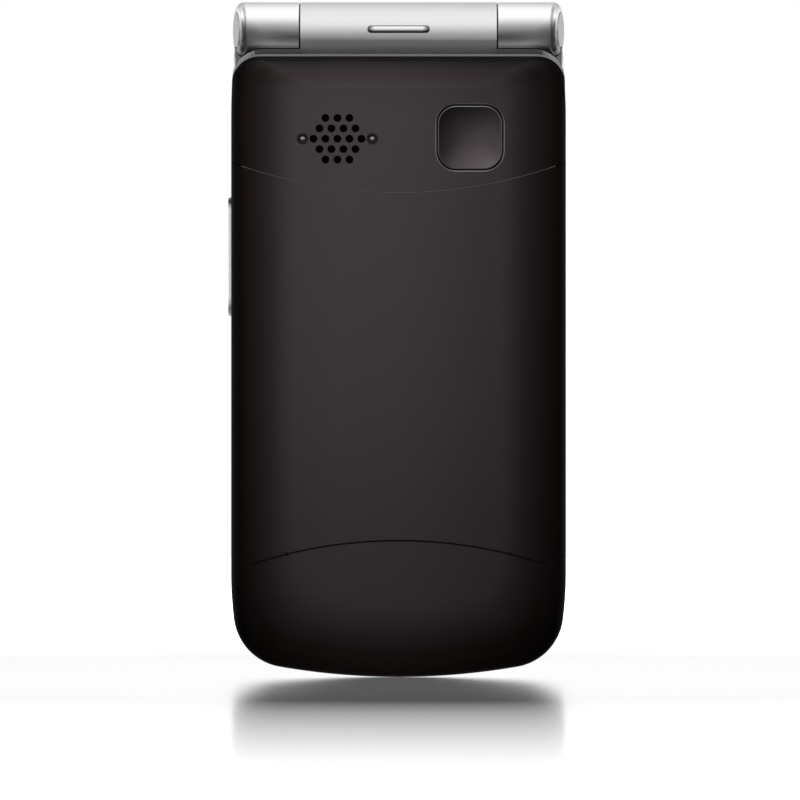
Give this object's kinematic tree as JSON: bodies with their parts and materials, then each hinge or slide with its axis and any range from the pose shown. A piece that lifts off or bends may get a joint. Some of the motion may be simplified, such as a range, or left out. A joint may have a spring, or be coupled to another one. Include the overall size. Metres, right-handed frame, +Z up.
{
  "type": "flip phone",
  "caption": "Folded clamshell mobile phone with a barrel hinge, keypad inside, displays in the lid, rear loudspeaker grille, emergency key and removable battery cover.",
  "frame": {"origin": "bottom centre of the folded phone's bounding box", "axes": "+Z up along the phone from its bottom end to the hinge, +Y from the rear face through the base to the lid's outer face, +X to the right when the rear face is seen"},
  "size_m": [0.0545, 0.0195, 0.109],
  "materials": {
    "silver_shell": "satin silver paint on moulded plastic",
    "black_shell": "soft satin black moulded plastic",
    "black_key": "gloss black key cap",
    "silver_key": "satin silver key cap",
    "call_green": "green key cap",
    "end_red": "red key cap",
    "digit_key": "dark grey key cap with pale digits",
    "window_glass": "hard-coated clear plastic with black printed border",
    "indicator": "translucent diffuser",
    "circuit_board": "green solder mask",
    "metal_can": "thin sheet steel",
    "spring_steel": "polished steel",
    "screw_steel": "black zinc steel",
    "gold_contact": "gold plated spring",
    "cell": "cell can in a dark printed wrap",
    "rubber": "silicone rubber",
    "black_part": "black engineering plastic",
    "magnet": "nickel plated magnet",
    "flex": "amber polyimide film"
  },
  "bodies": {
    "base": {"base_frame": "silver_shell", "rear_housing": "black_shell", "battery": "cell", "battery_contacts": "gold_contact", "base_board": "circuit_board", "shield_cans": "metal_can", "dome_switches": "spring_steel", "keypad_sheet": "rubber", "loudspeaker": "black_part", "speaker_mesh": "metal_can", "grille_nubs": "black_part", "sos_switch": "black_part", "volume_switches": "black_part", "vibration_motor": "metal_can", "sim_holder": "metal_can", "antenna": "black_part", "microphone": "black_part", "usb_socket": "metal_can", "headset_jack": "black_part", "base_screws": "screw_steel", "indicator_lens": "indicator", "hinge_module": "spring_steel", "flex_cable": "flex"},
    "lid": {"lid_frame": "silver_shell", "lid_cover": "black_shell", "outer_window": "window_glass", "outer_display": "metal_can", "camera_module": "black_part", "lid_board": "circuit_board", "inner_lens": "window_glass", "main_display": "metal_can", "receiver": "black_part", "lid_magnet": "magnet", "bumpers": "rubber", "lid_screws": "screw_steel", "hinge_shaft": "spring_steel", "hinge_tube": "spring_steel", "hinge_caps": "silver_shell"},
    "battery_cover": {"battery_cover": "black_shell"},
    "sos_key": {"sos_key": "black_key"},
    "volume_rocker": {"volume_rocker": "silver_shell"},
    "nav_rocker": {"nav_rocker": "black_key"},
    "ok_key": {"ok_key": "silver_key"},
    "soft_key_left": {"soft_key_left": "black_key"},
    "soft_key_right": {"soft_key_right": "black_key"},
    "call_key": {"call_key": "call_green"},
    "end_key": {"end_key": "end_red"},
    "key_1": {"key_1": "digit_key"},
    "key_2": {"key_2": "digit_key"},
    "key_3": {"key_3": "digit_key"},
    "key_4": {"key_4": "digit_key"},
    "key_5": {"key_5": "digit_key"},
    "key_6": {"key_6": "digit_key"},
    "key_7": {"key_7": "digit_key"},
    "key_8": {"key_8": "digit_key"},
    "key_9": {"key_9": "digit_key"},
    "key_star": {"key_star": "digit_key"},
    "key_0": {"key_0": "digit_key"},
    "key_hash": {"key_hash": "digit_key"}
  },
  "joints": [
    {"name": "lid_hinge", "type": "hinge", "parent": "base", "child": "lid", "pos_m": [0, 0.001, 0.1045], "axis": [1, 0, 0], "range_deg": [0, 160]},
    {"name": "battery_cover_slide", "type": "slide", "parent": "base", "child": "battery_cover", "axis": [0, -1, 0], "range_m": [0, 0.03]},
    {"name": "sos_press", "type": "slide", "parent": "base", "child": "sos_key", "axis": [0, 1, 0], "range_m": [0, 0.0005], "stiffness_N_per_m": 4000},
    {"name": "volume_rock", "type": "hinge", "parent": "base", "child": "volume_rocker", "pos_m": [-0.0258, -0.00147, 0.0678], "axis": [0, 1, 0], "range_deg": [-1.5, 1.5], "stiffness_Nm_per_rad": 0.5},
    {"name": "nav_rock", "type": "hinge", "parent": "base", "child": "nav_rocker", "pos_m": [0, -0.0003, 0.0674], "axis": [1, 0, 0], "range_deg": [-1.6, 1.6], "stiffness_Nm_per_rad": 0.5},
    {"name": "ok_press", "type": "slide", "parent": "base", "child": "ok_key", "axis": [0, -1, 0], "range_m": [0, 0.0003], "stiffness_N_per_m": 5000},
    {"name": "soft_key_left_press", "type": "slide", "parent": "base", "child": "soft_key_left", "axis": [0, -1, 0], "range_m": [0, 0.0003], "stiffness_N_per_m": 5000},
    {"name": "soft_key_right_press", "type": "slide", "parent": "base", "child": "soft_key_right", "axis": [0, -1, 0], "range_m": [0, 0.0003], "stiffness_N_per_m": 5000},
    {"name": "call_key_press", "type": "slide", "parent": "base", "child": "call_key", "axis": [0, -1, 0], "range_m": [0, 0.0003], "stiffness_N_per_m": 5000},
    {"name": "end_key_press", "type": "slide", "parent": "base", "child": "end_key", "axis": [0, -1, 0], "range_m": [0, 0.0003], "stiffness_N_per_m": 5000},
    {"name": "key_1_press", "type": "slide", "parent": "base", "child": "key_1", "axis": [0, -1, 0], "range_m": [0, 0.0003], "stiffness_N_per_m": 5000},
    {"name": "key_2_press", "type": "slide", "parent": "base", "child": "key_2", "axis": [0, -1, 0], "range_m": [0, 0.0003], "stiffness_N_per_m": 5000},
    {"name": "key_3_press", "type": "slide", "parent": "base", "child": "key_3", "axis": [0, -1, 0], "range_m": [0, 0.0003], "stiffness_N_per_m": 5000},
    {"name": "key_4_press", "type": "slide", "parent": "base", "child": "key_4", "axis": [0, -1, 0], "range_m": [0, 0.0003], "stiffness_N_per_m": 5000},
    {"name": "key_5_press", "type": "slide", "parent": "base", "child": "key_5", "axis": [0, -1, 0], "range_m": [0, 0.0003], "stiffness_N_per_m": 5000},
    {"name": "key_6_press", "type": "slide", "parent": "base", "child": "key_6", "axis": [0, -1, 0], "range_m": [0, 0.0003], "stiffness_N_per_m": 5000},
    {"name": "key_7_press", "type": "slide", "parent": "base", "child": "key_7", "axis": [0, -1, 0], "range_m": [0, 0.0003], "stiffness_N_per_m": 5000},
    {"name": "key_8_press", "type": "slide", "parent": "base", "child": "key_8", "axis": [0, -1, 0], "range_m": [0, 0.0003], "stiffness_N_per_m": 5000},
    {"name": "key_9_press", "type": "slide", "parent": "base", "child": "key_9", "axis": [0, -1, 0], "range_m": [0, 0.0003], "stiffness_N_per_m": 5000},
    {"name": "key_star_press", "type": "slide", "parent": "base", "child": "key_star", "axis": [0, -1, 0], "range_m": [0, 0.0003], "stiffness_N_per_m": 5000},
    {"name": "key_0_press", "type": "slide", "parent": "base", "child": "key_0", "axis": [0, -1, 0], "range_m": [0, 0.0003], "stiffness_N_per_m": 5000},
    {"name": "key_hash_press", "type": "slide", "parent": "base", "child": "key_hash", "axis": [0, -1, 0], "range_m": [0, 0.0003], "stiffness_N_per_m": 5000}
  ]
}
